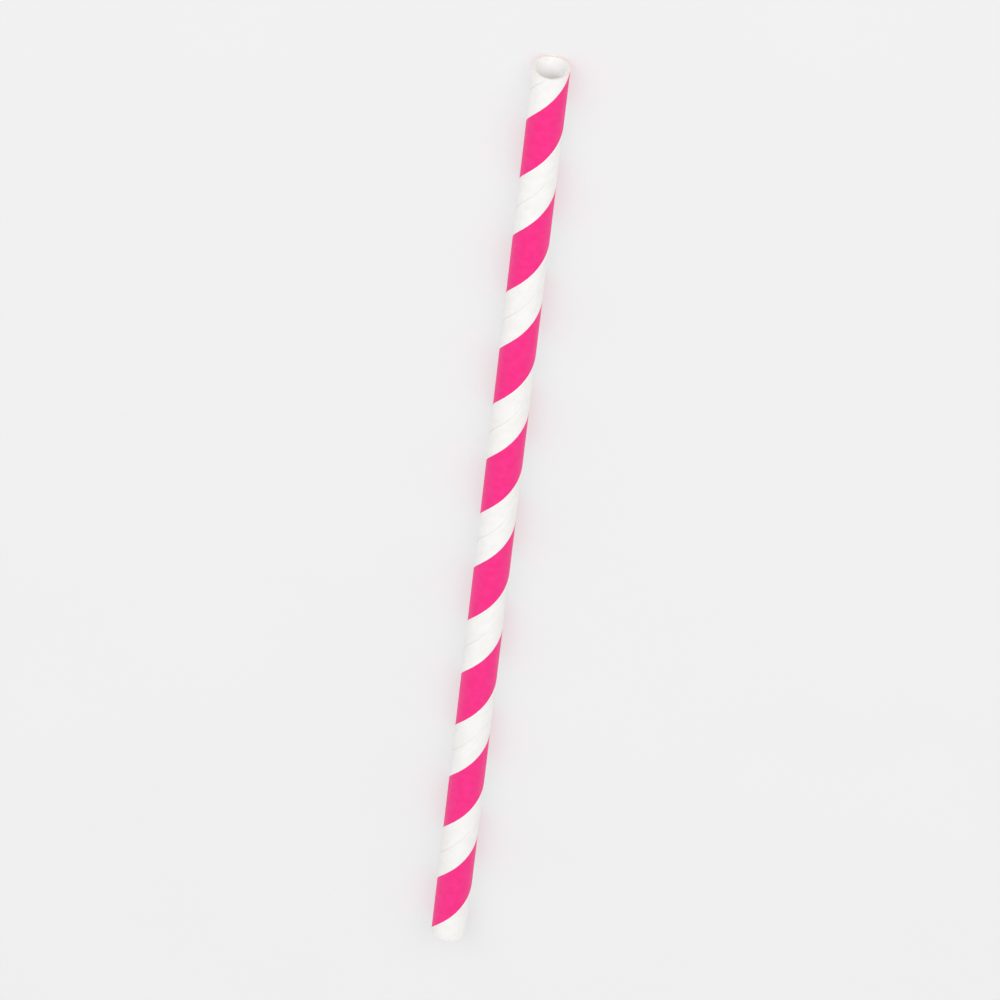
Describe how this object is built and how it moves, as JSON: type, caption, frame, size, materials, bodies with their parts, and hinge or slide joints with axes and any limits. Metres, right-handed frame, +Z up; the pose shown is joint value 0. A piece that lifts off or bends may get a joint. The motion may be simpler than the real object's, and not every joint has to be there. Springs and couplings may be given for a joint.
{
  "type": "paper drinking straw",
  "caption": "Straight drinking straw, a round tube wound from paper strips, with a helical band of pink print on white and square-cut ends.",
  "frame": {"origin": "On the surface that the straw lies on, under the middle of its length.", "axes": "+X runs along the tube towards its mouth, +Z is up from the surface and +Y is across."},
  "size_m": [0.197, 0.006, 0.006],
  "materials": {
    "printed_paper": "satin"
  },
  "bodies": {
    "root": {"straw_tube": "printed_paper"}
  },
  "joints": []
}
